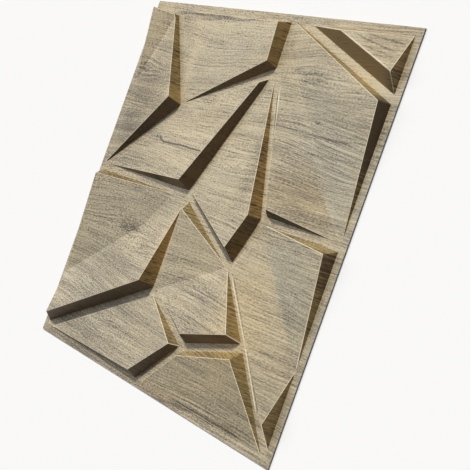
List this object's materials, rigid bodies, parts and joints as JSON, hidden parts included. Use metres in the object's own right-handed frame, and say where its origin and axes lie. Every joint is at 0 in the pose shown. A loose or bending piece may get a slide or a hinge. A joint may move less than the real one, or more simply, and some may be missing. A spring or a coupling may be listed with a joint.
{
  "type": "wall panel tile",
  "caption": "Square moulded wall tile, a thin sheet with a flat border and tilted, raised facets parted by flat channels, hollow behind, in a pale oak finish.",
  "frame": {"origin": "middle of the tile's footprint, on the plane of the flat back of its sheet", "axes": "+Z out of the decorated face, +X across the tile to the right as it is seen from the front, +Y up the tile as it hangs on a wall"},
  "size_m": [0.5, 0.5, 0.0206],
  "materials": {
    "oak_foil_sheet": "satin, printed with pale grey-brown oak grain"
  },
  "bodies": {
    "root": {"wall_tile": "oak_foil_sheet"}
  },
  "joints": []
}
